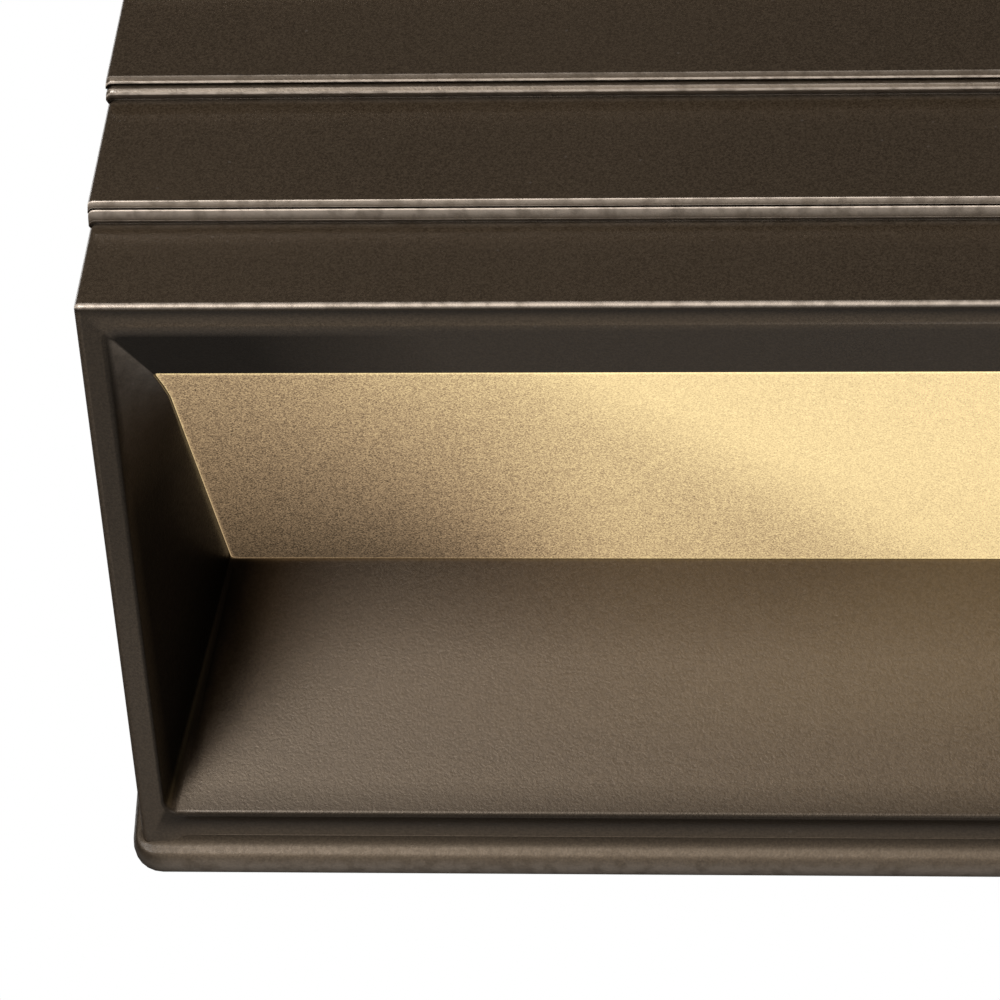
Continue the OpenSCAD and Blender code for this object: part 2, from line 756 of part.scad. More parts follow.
module reflector() {
    leg_y = plate_front - sheet_t;
    notch_left = lead_far - lead_d / 2 - notch_gap;
    notch_top = lamp_z + holder_d / 2 + notch_gap;
    color([0.9, 0.9, 0.9]) difference() {
        union() {
            translate([-reflector_w / 2, wing_y, reflector_z])
                cube([reflector_w, sheet_t, reflector_h]);
            translate([-reflector_w / 2, wing_y + sheet_t, reflector_z + reflector_h])
                rotate([180 - wing_angle, 0, 0]) cube([reflector_w, wing_l, sheet_t]);
            both_sides() translate([reflector_w / 2 - sheet_t, wing_y, reflector_mid - leg_h / 2]) {
                cube([sheet_t, plate_front - wing_y, leg_h]);
                translate([0, leg_y - wing_y, 0]) cube([foot_w + sheet_t, sheet_t, leg_h]);
            }
        }
        translate([notch_left, wing_y - over, reflector_z - over])
            cube([holder_x + notch_gap - notch_left, sheet_t + 2 * over,
                notch_top - reflector_z + over]);
        for (f = fixings) translate([f[0], plate_front + over, f[1]])
            rod_out(f[2] + 2 * hole_gap, sheet_t + 2 * over);
    }
}

// Round glass of the lamp, or with an inset the room inside it
module bulb(inset) {
    r = lamp_d / 2 - inset;
    dome = lamp_x + lamp_l - lamp_d / 2;
    translate([lamp_x + neck_l, lamp_y, lamp_z]) rod_x(2 * r, dome - lamp_x - neck_l);
    translate([dome, lamp_y, lamp_z]) sphere(r);
    translate([lamp_x + inset, lamp_y, lamp_z]) rotate([0, 90, 0])
        cylinder(r1 = neck_r - inset, r2 = r, h = neck_l - inset);
}

module lamp_glass() {
    color([0.95, 0.95, 0.95]) difference() {
        union() {
            bulb(0);
            translate([lamp_x - wedge_l + move_gap, lamp_y - wedge_t / 2, lamp_z - wedge_w / 2])
                cube([wedge_l, wedge_t, wedge_w]);
        }
        bulb(glass_t);
    }
}

post_w = 0.6;
post_l = 12;
post_gap = 5;

module lamp_posts() {
    color([0.6, 0.6, 0.6]) for (side = [-1, 1]) translate([lamp_x + glass_t,
            lamp_y - post_w / 2, lamp_z + side * (post_gap + post_w) / 2 - post_w / 2])
        cube([post_l, post_w, post_w]);
}

module lamp_filament() {
    color([0.9, 0.7, 0.4]) translate([lamp_x + glass_t + post_l - post_w / 2, lamp_y,
            lamp_z - post_gap / 2])
        cylinder(d = post_w, h = post_gap);
}

wall_gasket();
mounting_plate();
cable_grommet();
terminal_block();
terminal_inserts();
terminal_screws();
block_screw();
socket_bracket();
bracket_rivets();
lampholder();
lamp_contacts();
lead_left();
lead_right();
reflector();
reflector_screws();
lamp_glass();
lamp_posts();
lamp_filament();
louvered_housing();
lens();
lens_seal();
lens_clip_left();
lens_clip_right();
clip_screws();
set_screw_left();
set_screw_right();
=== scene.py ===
import json
import math

import bmesh
import bpy
from mathutils import Matrix, Vector


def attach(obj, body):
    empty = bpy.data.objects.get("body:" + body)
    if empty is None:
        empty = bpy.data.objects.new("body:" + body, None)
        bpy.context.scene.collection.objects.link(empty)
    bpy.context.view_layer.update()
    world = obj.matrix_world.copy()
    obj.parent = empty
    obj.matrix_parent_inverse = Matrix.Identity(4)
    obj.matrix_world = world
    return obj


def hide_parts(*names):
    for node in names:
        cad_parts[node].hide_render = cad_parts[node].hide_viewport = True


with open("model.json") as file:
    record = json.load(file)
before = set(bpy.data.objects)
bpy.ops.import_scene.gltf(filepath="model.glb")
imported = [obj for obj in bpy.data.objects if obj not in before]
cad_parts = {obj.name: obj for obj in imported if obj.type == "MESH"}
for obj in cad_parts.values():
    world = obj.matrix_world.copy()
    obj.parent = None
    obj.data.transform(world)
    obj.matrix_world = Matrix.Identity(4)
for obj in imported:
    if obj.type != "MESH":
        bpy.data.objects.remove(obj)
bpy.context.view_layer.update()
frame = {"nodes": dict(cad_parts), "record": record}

scene = bpy.context.scene

# All sizes are in millimetres. Depth and height on the hood are counted from its nose, the
# sharp lower edge of the lowest louver.

MM = 0.001
NOSE_Y = -46.5
NOSE_Z = -9.2


def place(x, depth, height):
    return Vector((x, NOSE_Y + depth, NOSE_Z + height)) * MM


# Camera, looking up at the lower left part of the light

CAMERA_RISE = math.radians(24.4357)
CAMERA_TURN = math.radians(8.7374)
CAMERA_ROLL = math.radians(3.6299)
CAMERA_LENS = 295.765
CAMERA_FROM_NOSE = (47.5415, -546.9346, -267.4666)


def make_camera():
    ahead = Vector((-math.sin(CAMERA_TURN) * math.cos(CAMERA_RISE),
                    math.cos(CAMERA_TURN) * math.cos(CAMERA_RISE), math.sin(CAMERA_RISE)))
    level = Vector((math.cos(CAMERA_TURN), math.sin(CAMERA_TURN), 0))
    upward = level.cross(ahead)
    right = level * math.cos(CAMERA_ROLL) + upward * math.sin(CAMERA_ROLL)
    up = upward * math.cos(CAMERA_ROLL) - level * math.sin(CAMERA_ROLL)
    camera = bpy.data.objects.new("camera", bpy.data.cameras.new("camera"))
    camera.data.lens = CAMERA_LENS
    camera.data.clip_start = 0.01
    eye = place(*CAMERA_FROM_NOSE)
    camera.matrix_world = Matrix((
        (right.x, up.x, -ahead.x, eye.x),
        (right.y, up.y, -ahead.y, eye.y),
        (right.z, up.z, -ahead.z, eye.z),
        (0, 0, 0, 1)))
    scene.collection.objects.link(camera)
    scene.camera = camera


make_camera()

# The hood

HALF = 70.0
WALL = 2.1
INNER = HALF - WALL
EDGE_R = 0.52
# Slope of the open mouth, and how far the louver bands lean back
MOUTH = math.radians(30.2)
LEAN = math.radians(22.6)
# Louver steps: their number, the height of the first lip, and the rise from lip to lip
LIPS = 3
BAND_FIRST = 9.8
BAND_PITCH = 11.65
# How far a lip stands out from the band below it, and how far it hangs over that band
STEP_IN = 2.07
STEP_DROP = 0.5
CROWN_H = 7.6
ROOF_R = 2.4
ROOF_SLOPE = math.radians(5.5)
# Depths of the flange's front and back, and how far it stands out at the sides and elsewhere
FLANGE_D = 44.0
FLANGE_BACK = 46.1
FLANGE_SIDE = 1.0
FLANGE_EDGE = 1.7
FLANGE_CORNER_R = 2.5
FRONT_RAIL = 2.15
BACK_WALL_D = 41.39
OPENING_FRONT = 7.1
OPENING_DROP = 2.2
OPENING_HALF = INNER - 3.6
OPENING_R = 0.4
LEDGE_T = 1.2
POCKET_D = BACK_WALL_D + WALL
MOUTH_FALL = FLANGE_D * math.tan(MOUTH)
POCKET_LOW = -MOUTH_FALL + WALL

BAND_OUT = Vector((-math.cos(LEAN), math.sin(LEAN)))
BAND_UP = Vector((math.sin(LEAN), math.cos(LEAN)))
MOUTH_OUT = Vector((-math.sin(MOUTH), -math.cos(MOUTH)))
MOUTH_BACK = Vector((math.cos(MOUTH), -math.sin(MOUTH)))


def lip_height(i):
    return BAND_FIRST + (i - 1) * BAND_PITCH if i else 0.0


def groove_height(i):
    return lip_height(i) - STEP_DROP


def groove_depth(i):
    return lip_depth(i - 1) + (groove_height(i) - lip_height(i - 1)) * math.tan(LEAN)


def lip_depth(i):
    return groove_depth(i) - STEP_IN if i else 0.0


CROWN = Vector((lip_depth(LIPS) + CROWN_H * math.tan(LEAN), lip_height(LIPS) + CROWN_H))


def roof_height(d):
    return CROWN.y + (d - CROWN.x) * math.tan(ROOF_SLOPE)


POCKET_TOP = roof_height(FLANGE_D) - WALL

# Mesh helpers

# Points closer together than this are one point
WELD = 0.004
# Edges between faces that turn by more than this stay sharp
SHARP = math.radians(32)


def fillet(before, corner, after, radius, steps):
    """Points of a round corner, with a lesser radius where its sides are short."""
    u = (before - corner).normalized()
    v = (after - corner).normalized()
    half = u.angle(v) / 2
    reach = min(radius / math.tan(half), 0.48 * (before - corner).length, 0.48 * (after - corner).length)
    size = reach * math.tan(half)
    centre = corner + (u + v).normalized() * size / math.sin(half)
    first = corner + u * reach - centre
    last = corner + v * reach - centre
    turn = first.angle_signed(last)
    points = []
    for k in range(steps + 1):
        arm = first.copy()
        arm.rotate(Matrix.Rotation(-turn * k / steps, 2))
        points.append(centre + arm)
    return points


def on_hood(vertex):
    """Where a vertex is, in width and in depth and height from the nose."""
    return Vector((vertex.co.x / MM, vertex.co.y / MM - NOSE_Y, vertex.co.z / MM - NOSE_Z))


class Shell:
    """One mesh under construction. Its points carry wear and painted light, for rubbed edges, painted
    highlights and places painted lighter, and painted shade, for the dark of recesses and grooves, and its
    faces carry whether they fill a flat outline."""

    def __init__(self):
        self.bm = bmesh.new()
        self.wear_and_light = self.bm.verts.layers.float.new("wear_and_light")
        self.shade = self.bm.verts.layers.float.new("shade")
        self.filled = self.bm.faces.layers.int.new("filled")

    def point(self, x, d, h, wear_and_light=0.0, shade=0.0):
        v = self.bm.verts.new(place(x, d, h))
        v[self.wear_and_light] = wear_and_light
        v[self.shade] = shade
        return v

    def face(self, *verts):
        kept = [v for i, v in enumerate(verts) if v is not verts[i - 1]]
        if len(set(kept)) > 2:
            self.bm.faces.new(kept)

    def grid(self, rows, closed=False):
        for a, b in zip(rows, rows[1:]):
            n = len(a)
            for i in range(n if closed else n - 1):
                k = (i + 1) % n
                self.face(a[i], a[k], b[k], b[i])

    def fill(self, *loops):
        """Fills between an outline and the holes in it."""
        edges = set()
        for loop in loops:
            for a, b in zip(loop, loop[1:] + loop[:1]):
                if a is not b:
                    edges.add(self.bm.edges.get((a, b)) or self.bm.edges.new((a, b)))
        made = bmesh.ops.triangle_fill(self.bm, use_beauty=True, use_dissolve=False, edges=list(edges))
        for part in made["geom"]:
            if isinstance(part, bmesh.types.BMFace):
                part[self.filled] = 1

    def finish(self, name):
        bmesh.ops.remove_doubles(self.bm, verts=self.bm.verts, dist=WELD * MM)
        bmesh.ops.dissolve_degenerate(self.bm, dist=WELD * MM, edges=self.bm.edges)
        bmesh.ops.recalc_face_normals(self.bm, faces=self.bm.faces)
        for f in self.bm.faces:
            f.smooth = True
        for e in self.bm.edges:
            border = len({f[self.filled] for f in e.link_faces}) > 1
            e.smooth = not border and e.calc_face_angle(0) <= SHARP
        mesh = bpy.data.meshes.new(name)
        self.bm.to_mesh(mesh)
        self.bm.free()
        piece = bpy.data.objects.new(name, mesh)
        scene.collection.objects.link(piece)
        flat = piece.modifiers.new("flat faces stay flat", "WEIGHTED_NORMAL")
        flat.keep_sharp = True
        return piece


def spread(start, end, count):
    return [start + (end - start) * k / count for k in range(count + 1)]


def eased(count):
    """Fractions from 0 to 1 that lie closer together towards both ends."""
    return [0.5 - 0.5 * math.cos(math.pi * k / count) for k in range(count + 1)]


def smooth(value, low, high):
    """Rises softly from 0 at low to 1 at high, or falls where high is the lesser of the two."""
    t = min(1.0, max(0.0, (value - low) / (high - low)))
    return t * t * (3 - 2 * t)


# The hood's cast shell

ROUND_STEPS = 6
CROWN_STEPS = 8
CORNER_STEPS = 3
FRONT_SPANS = 18
SIDE_SPANS = 14
# Distances from a corner, along an edge, of the points that become a round corner further in
CORNER_STEPS_OUT = [0.0, 0.35, 0.8, 1.4]

NOSE_ARC = fillet(MOUTH_BACK * 5, Vector((0, 0)), BAND_UP * 5, EDGE_R, ROUND_STEPS)
NOSE_CENTRE = NOSE_ARC[0] - MOUTH_OUT * EDGE_R
ROUND_ANGLES = spread(0, math.pi / 2, ROUND_STEPS)

# Corners of a louver step, from the band below it up to its lip, counted from that lip:
# depth and height, radius, wear with painted highlight, painted shade. Each step is two beads with a groove
# behind each, darkened with painted shade.
LOW_STEP = [
    (Vector((1.90, -0.92)), 0.05, 0.15, 0.0),
    (Vector((1.10, -1.13)), 0.07, 0.7, 0.0),
    (Vector((0.50, -0.54)), 0.13, 1.0, 0.0),
    (Vector((0.68, -0.20)), 0.03, 0.0, 0.4),
    (Vector((0.27, -0.47)), 0.06, 0.7, 0.0),
    (Vector((0.0, 0.0)), 0.13, 1.0, 0.0)]
HIGH_STEP = [
    (Vector((2.07, -0.50)), 0.05, 0.15, 0.0),
    (Vector((0.72, -0.82)), 0.20, 0.8, 0.0),
    (Vector((0.64, -0.31)), 0.20, 0.5, 0.0),
    (Vector((0.86, -0.28)), 0.03, 0.0, 0.3),
    (Vector((0.86, 0.20)), 0.03, 0.0, 0.3),
    (Vector((0.20, -0.15)), 0.14, 1.0, 0.0),
    (Vector((0.208, 0.50)), 0.35, 0.3, 0.0)]
# Share of a corner's wear and painted highlight at the points round its fillet, from its lower end up
WEAR_AND_HIGHLIGHT_SHARE = [0.4, 0.9, 1.0, 1.0, 0.5, 0.0]
# Distances up the band from a lip: of the end of the step's last round, of the point where
# its wear and painted highlight have gone, and of the points between steps
STEP_END = 2.0
CLEAN_UP = 1.2
CLEAN_DOWN = 0.8
BAND_POINTS = (3.0, 6.0, 9.0)
# Painted highlight and painted shade over the round of the nose, from the rail up to the first band
NOSE_HIGHLIGHT = [0.0, 0.0, 0.3, 0.7, 0.7, 0.45, 0.0]
NOSE_SHADE = [0.6, 0.6, 0.4, 0.0, 0.0, 0.0, 0.0]
CROWN_WEAR = 0.08


def step_profile(lip, before, corners):
    """Points of one louver step, from just below it up to its lip."""
    outline = [(lip + corners[0][0] - BAND_UP * CLEAN_DOWN, BAND_OUT, 0.0, 0.0)]
    following = [lip + c[0] for c in corners[1:]] + [lip + BAND_UP * STEP_END]
    for (offset, radius, wear_and_light, shade), after in zip(corners, following):
        corner = lip + offset
        for p, share in zip(fillet(before, corner, after, radius, len(WEAR_AND_HIGHLIGHT_SHARE) - 1), WEAR_AND_HIGHLIGHT_SHARE):
            outline.append((p, BAND_OUT, wear_and_light * share, shade))
        before = corner
    outline.append((lip + BAND_UP * CLEAN_UP, BAND_OUT, 0.0, 0.0))
    return outline


def band_profile():
    """Louver outline from nose to flange: point, outward direction, wear and painted highlight, painted
    shade.
    """
    outline = []
    for p, wear_and_light, shade in zip(NOSE_ARC, NOSE_HIGHLIGHT, NOSE_SHADE):
        outline.append((p, (p - NOSE_CENTRE).normalized(), wear_and_light, shade))
    before = BAND_UP * STEP_END
    for i in range(1, LIPS + 1):
        lip = Vector((lip_depth(i), lip_height(i)))
        outline += step_profile(lip, before, LOW_STEP if i == 1 else HIGH_STEP)
        before = lip + BAND_UP * STEP_END
        if i < LIPS:
            outline += [(lip + BAND_UP * up, BAND_OUT, 0.0, 0.0) for up in BAND_POINTS]
    roof_out = Vector((-math.sin(ROOF_SLOPE), math.cos(ROOF_SLOPE)))
    end = Vector((FLANGE_D, roof_height(FLANGE_D)))
    crown = fillet(Vector((lip_depth(LIPS), lip_height(LIPS))), CROWN, end, ROOF_R, CROWN_STEPS)
    for k, p in enumerate(crown):
        outline.append((p, BAND_OUT.lerp(roof_out, k / CROWN_STEPS).normalized(), CROWN_WEAR, 0.0))
    for along in (0.25, 0.5, 0.75, 1.0):
        outline.append((crown[-1].lerp(end, along), roof_out, 0.0, 0.0))
    return outline


def across_stations():
    """X of the columns between the rounded ends."""
    reach = HALF - EDGE_R
    left = [-reach + c for c in CORNER_STEPS_OUT]
    right = [reach - c for c in reversed(CORNER_STEPS_OUT)]
    return left[:-1] + [left[-1] + (right[0] - left[-1]) * f for f in eased(FRONT_SPANS)] + right[1:]


def down_stations(length):
    """Distances from the front along a side edge, close together at both corners."""
    near = CORNER_STEPS_OUT
    far = [length - c for c in reversed(near)]
    return near[:-1] + [near[-1] + (far[0] - near[-1]) * f for f in eased(SIDE_SPANS)] + far[1:]


def rounded_loop(half, front, back, radius, back_radius=None):
    """Points round a rectangle, from its front left corner, in width and depth."""
    back_radius = radius if back_radius is None else back_radius

    def corner(sign, depth, r, start):
        centre = Vector((sign * (half - r), depth))
        angles = [start + math.pi / 4 * k / CORNER_STEPS for k in range(CORNER_STEPS + 1)]
        return [centre + Vector((math.cos(a), math.sin(a))) * r for a in angles]

    def side(a, b, spans):
        return [a.lerp(b, f) for f in eased(spans)[1:-1]]

    turn = math.pi / 4
    near = front + radius
    far = back - back_radius
    runs = ((corner(-1, near, radius, -3 * turn), corner(1, near, radius, -2 * turn), FRONT_SPANS),
            (corner(1, near, radius, -turn), corner(1, far, back_radius, 0), SIDE_SPANS),
            (corner(1, far, back_radius, turn), corner(-1, far, back_radius, 2 * turn), FRONT_SPANS),
            (corner(-1, far, back_radius, 3 * turn), corner(-1, near, radius, 4 * turn), SIDE_SPANS))
    loop = []
    for run, end, spans in runs:
        loop += run + side(run[-1], end[0], spans) + end[:-1]
    return loop


FRONT_COUNT = 2 * CORNER_STEPS + FRONT_SPANS
SIDE_COUNT = 2 * CORNER_STEPS + SIDE_SPANS


def is_front(i):
    """Whether a point of a rounded loop is on its front side."""
    return i <= FRONT_COUNT


def is_back(i):
    return FRONT_COUNT + SIDE_COUNT <= i <= 2 * FRONT_COUNT + SIDE_COUNT


def mouth_point(x, q):
    """A place in the plane of the mouth, q behind the nose along its slope."""
    return Vector((x, q * MOUTH_BACK.x, q * MOUTH_BACK.y))


def outside_columns():
    """Widths of the hood's columns, and how far each is set in at the rounded ends."""
    rounded = [(HALF - EDGE_R + EDGE_R * math.sin(a), EDGE_R * (1 - math.cos(a))) for a in ROUND_ANGLES[1:]]
    left = [(-x, inset) for x, inset in reversed(rounded)]
    return left + [(x, 0.0) for x in across_stations()] + rounded


def housing_outside(shell):
    profile = band_profile()
    rows = []
    for n, (p, out, wear_and_light, shade) in enumerate(profile):
        row = []
        for x, inset in outside_columns():
            q = p - out * inset
            if n == len(profile) - 1:
                q = Vector((FLANGE_D, p.y - inset / math.cos(ROOF_SLOPE)))
            # The columns that bound the flat side walls leave these unpainted
            painted = 1.0 if inset < 0.8 * EDGE_R else 0.0
            row.append(shell.point(x, q.x, q.y, wear_and_light * painted, shade * painted))
        rows.append(row)
    shell.grid(rows)
    return rows


def side_edges(shell, rows):
    """The round lower edges of the two side walls, from the nose back to the flange."""
    ends = {}
    for sign in (-1, 1):
        strips = []
        for k, angle in enumerate(ROUND_ANGLES):
            first = rows[0][k - 1 - ROUND_STEPS] if sign > 0 else rows[0][ROUND_STEPS - k]
            x = sign * (HALF - EDGE_R + EDGE_R * math.sin(angle))
            start = NOSE_CENTRE + MOUTH_OUT * EDGE_R * math.cos(angle)
            strip = [first]
            for s in down_stations((FLANGE_D - start.x) / MOUTH_BACK.x)[1:]:
                p = start + MOUTH_BACK * s
                strip.append(shell.point(x, p.x, p.y))
            strips.append(strip)
        shell.grid(strips)
        ends[sign] = strips
    return ends


# How far the lens opening widens towards its front corners, and over what depth
FLARE = 0.6
FLARE_D = 3.4


def flared(loop):
    """Widens the lens opening towards its front corners."""
    return [Vector((p.x * (1 + FLARE / OPENING_HALF * max(0.0, 1 - (p.y - OPENING_FRONT) / FLARE_D)), p.y))
            for p in loop]


# Hollows of the front and back rails, and the round from the rails into the recess
FRONT_COVE = 0.15
BACK_COVE = 0.42
RIM_ROUND = 0.3
RECESS_R = 1.0
# Shares at which loops lie: across the rails, round the rim and up the walls of the recess
RAIL_STEPS = (0.04, 0.12, 0.24, 0.38, 0.52, 0.66, 0.8, 0.9, 0.97, 1.0)
RIM_STEPS = (0.25, 0.5, 0.75, 1.0)
WALL_STEPS = (0.12, 0.3, 0.5, 0.7, 0.85, 0.94, 0.98, 1.0)


def cove(i, x, step):
    """How far a rail is hollowed at a share of its width, fading towards its ends."""
    depth = FRONT_COVE if is_front(i) else BACK_COVE if is_back(i) else 0.0
    return depth * smooth(abs(x), INNER + RIM_ROUND, INNER - 3) * 4 * step * (1 - step)


def rail_shade(i, p, step):
    """Painted shade under the nose, towards the back wall and high up the side rails."""
    if is_front(i):
        return 0.5 - 0.5 * smooth(step, 0.0, 0.7)
    if is_back(i):
        return 0.6 * smooth(step, 0.3, 0.9)
    return 0.35 - 0.35 * smooth(p.y, 16, 30)


# Painted shade round the rim into the recess: none at the front, dark at the sides and back.
def rim_shade(i, step):
    if is_front(i):
        return 0.0
    return 0.75 - 0.3 * step if is_back(i) else 0.6


def wall_light_and_shade(i, p, step):
    """Painted light and painted shade of the recess: end walls are painted lighter at the front and dark at
    the back, its front wall is painted dark towards its ends, and its back wall gets a painted shadow near
    its ends."""
    if is_front(i):
        return 0.0, 0.8 * smooth(abs(p.x), 42, 58)
    if is_back(i):
        from_end = INNER + (OPENING_HALF - INNER) * step - abs(p.x)
        return 0.0, 1.0 - smooth(from_end, 0.2 + 0.6 * step, 0.6 + 4.2 * step)
    return 0.1 - 0.1 * smooth(p.y, 8, 17), smooth(p.y, 8, 20)


def mouth_rings(shell, rows, sides):
    """Rails, recess walls and lens opening, as loops inside one another."""
    back = [shell.point(x, FLANGE_D, -MOUTH_FALL) for x in reversed(across_stations()[1:-1])]
    outer = rows[0][ROUND_STEPS:-ROUND_STEPS] + sides[1][0][1:] + back + sides[-1][0][:0:-1]
    start = [on_hood(v) for v in outer]
    rail_back = BACK_WALL_D / math.cos(MOUTH)
    rim = [mouth_point(p.x, p.y) for p in rounded_loop(INNER + RIM_ROUND, FRONT_RAIL - RIM_ROUND,
                                                     rail_back + RIM_ROUND, RECESS_R + RIM_ROUND)]
    edge = [mouth_point(p.x, p.y) for p in rounded_loop(INNER, FRONT_RAIL, rail_back, RECESS_R)]
    slot = [Vector((p.x, p.y, -OPENING_DROP))
            for p in flared(rounded_loop(OPENING_HALF, OPENING_FRONT, BACK_WALL_D, OPENING_R))]
    inward = Vector((0, -MOUTH_OUT.x, -MOUTH_OUT.y))
    loops = [outer]
    for step in RAIL_STEPS:
        loop = []
        for i, (a, b) in enumerate(zip(start, rim)):
            p = a.lerp(b, step) + inward * cove(i, b.x, step)
            loop.append(shell.point(*p, 0.0, rail_shade(i, p, step)))
        loops.append(loop)
    foot = [e + (s - e).normalized() * min(RIM_ROUND, 0.3 * (s - e).length) for e, s in zip(edge, slot)]
    for t in RIM_STEPS:
        loop = []
        for i, (a, b, c) in enumerate(zip(rim, edge, foot)):
            p = a * (1 - t) ** 2 + b * 2 * t * (1 - t) + c * t * t
            loop.append(shell.point(*p, 0.0, rim_shade(i, t)))
        loops.append(loop)
    for step in WALL_STEPS:
        loop = []
        for i, (a, b) in enumerate(zip(foot, slot)):
            p = a.lerp(b, step)
            loop.append(shell.point(*p, *wall_light_and_shade(i, p, step)))
        loops.append(loop)
    # The slot's walls up to the ledge get full painted shade, except along the back wall.
    for height in (-OPENING_DROP + 0.12, CHAMBER_FLOOR):
        loops.append([shell.point(p.x, p.y, height, 0.0, 1.0 if p.y < BACK_WALL_D - 0.2 else 0.0)
                      for p in slot])
    chamber = rounded_loop(INNER, CHAMBER_FRONT, POCKET_D, 0.0)
    loops.append([shell.point(p.x, p.y, CHAMBER_FLOOR) for p in chamber])
    shell.grid(loops, closed=True)
    return outer, loops[-1]


CHAMBER_FRONT = OPENING_FRONT - 1.8
CHAMBER_FLOOR = -OPENING_DROP + LEDGE_T
HOOD_BACK = FLANGE_BACK - 0.2
# How far the set screws are from the wall, and their height over the middle of the wall plate
SET_SCREW_OUT = 9.0
SET_SCREW_UP = 14.0
SET_SCREW = Vector((-NOSE_Y - SET_SCREW_OUT, SET_SCREW_UP - NOSE_Z))
SET_HOLE_R = 2.05
SET_BOSS_R = 4.0
SET_BOSS_L = 3.6
SEAL_T = 0.6
LENS_T = 3.0
CLIP_AXIS = Vector((15.0, CHAMBER_FLOOR + SEAL_T + LENS_T + 6.5))
CLIP_BOSS_R = 3.5
CLIP_BOSS_L = 2.0
CLIP_HOLE_R = 1.55
# How far the clip screws' blind holes go into the side walls
CLIP_HOLE_DEEP = 1.0
# Height of the chamber's front wall, up to where it follows the louvers
CHAMBER_STEP = 3.9


def circle_at(shell, x, centre, radius, count=28):
    return [shell.point(x, centre.x + radius * math.cos(2 * math.pi * k / count),
                        centre.y + radius * math.sin(2 * math.pi * k / count)) for k in range(count)]


def housing_inside(shell, floor_loop):
    """Chamber behind the louvers and the pocket behind the mouth's back wall: the last row of
    each, and for each side the outline of its inner face."""
    front = floor_loop[:FRONT_COUNT + 1]
    right = floor_loop[FRONT_COUNT:FRONT_COUNT + SIDE_COUNT + 1]
    back = floor_loop[FRONT_COUNT + SIDE_COUNT:2 * FRONT_COUNT + SIDE_COUNT + 1]
    left = floor_loop[2 * FRONT_COUNT + SIDE_COUNT:] + floor_loop[:1]
    path = [Vector((CHAMBER_FRONT, CHAMBER_FLOOR + CHAMBER_STEP)),
            Vector((groove_depth(LIPS) + WALL, groove_height(LIPS))),
            CROWN + Vector((WALL, -WALL)), Vector((FLANGE_D, POCKET_TOP)),
            Vector((HOOD_BACK, POCKET_TOP))]
    upper = [front] + [[shell.point(v.co.x / MM, p.x, p.y) for v in front] for p in path]
    shell.grid(upper)
    path = [Vector((POCKET_D, POCKET_LOW)), Vector((HOOD_BACK, POCKET_LOW))]
    lower = [back] + [[shell.point(v.co.x / MM, p.x, p.y) for v in back] for p in path]
    shell.grid(lower)
    outlines = {}
    for sign, run in ((-1, left[::-1]), (1, right)):
        down = [row[0 if sign > 0 else -1] for row in lower[1:]]
        up = [row[-1 if sign > 0 else 0] for row in upper[:0:-1]]
        outlines[sign] = run + down + up
    return upper[-1], lower[-1], outlines


def housing_sides(shell, rows, edges, inner_outlines):
    """Bores and bosses of the side walls, and the flat faces to fill, each with its holes."""
    fills = []
    for sign in (-1, 1):
        outline = [row[-1 if sign > 0 else 0] for row in rows] + edges[sign][-1][::-1]
        outline = [v for i, v in enumerate(outline) if v is not outline[i - 1]]
        boss_end = sign * (INNER - SET_BOSS_L)
        hole = circle_at(shell, sign * HALF, SET_SCREW, SET_HOLE_R)
        boss = [circle_at(shell, sign * INNER, SET_SCREW, SET_BOSS_R),
                circle_at(shell, boss_end, SET_SCREW, SET_BOSS_R),
                circle_at(shell, boss_end, SET_SCREW, SET_HOLE_R), hole]
        shell.grid(boss, closed=True)
        clip_end = sign * (INNER - CLIP_BOSS_L)
        clip = [circle_at(shell, sign * INNER, CLIP_AXIS, CLIP_BOSS_R),
                circle_at(shell, clip_end, CLIP_AXIS, CLIP_BOSS_R),
                circle_at(shell, clip_end, CLIP_AXIS, CLIP_HOLE_R),
                circle_at(shell, sign * (INNER + CLIP_HOLE_DEEP), CLIP_AXIS, CLIP_HOLE_R)]
        shell.grid(clip, closed=True)
        shell.bm.faces.new(clip[-1])
        fills.append((outline, hole))
        fills.append((inner_outlines[sign], boss[0], clip[0]))
    return fills


def without_doubles(loop):
    kept = []
    for v in loop:
        if not kept or (v.co - kept[-1].co).length > WELD * MM:
            kept.append(v)
    if (kept[0].co - kept[-1].co).length < WELD * MM:
        kept.pop()
    return kept


def make_housing():
    shell = Shell()
    rows = housing_outside(shell)
    edges = side_edges(shell, rows)
    outer, floor_loop = mouth_rings(shell, rows, edges)
    upper, lower, inner_outlines = housing_inside(shell, floor_loop)
    fills = housing_sides(shell, rows, edges, inner_outlines)
    back_row = outer[FRONT_COUNT + SIDE_COUNT:2 * FRONT_COUNT + SIDE_COUNT + 1]
    right_ends = [strip[-1] for strip in reversed(edges[1])]
    left_ends = [strip[-1] for strip in edges[-1]]
    rim = rows[-1] + right_ends[:-1] + back_row + left_ends[1:]
    rim_back = [shell.point(p.x, HOOD_BACK, p.z) for p in map(on_hood, rim)]
    shell.grid([rim, rim_back], closed=True)
    fills.append((rim_back, upper + lower))
    weld = bmesh.ops.find_doubles(shell.bm, verts=shell.bm.verts, dist=WELD * MM)["targetmap"]
    fills = [[[weld.get(v, v) for v in loop] for loop in loops] for loops in fills]
    bmesh.ops.weld_verts(shell.bm, targetmap=weld)
    for loops in fills:
        shell.fill(*[without_doubles(loop) for loop in loops])
    return shell.finish("housing_skin")


# The flange blends out of the walls from a root inside them, over a depth, to the foot of its
# rounded edge
FLANGE_BLEND = 0.45
FLANGE_ROOT = -0.3
FLANGE_FOOT = 0.4
FLANGE_EDGE_T = 1.75
FLANGE_BACK_R = 0.15
BLEND_STEPS = 4
EDGE_STEPS = 10
# Power of sine and cosine that makes the flange's edge a little squarer than a quarter round
SQUARER = 0.88
# Painted light on the outer part of the flange's round edge
FLANGE_EDGE_LIGHT = 0.26
# How far the flange's mesh goes into the wall, and its gap to the hollow inside
FLANGE_BURIED = 0.5
FLANGE_GAP = 0.1


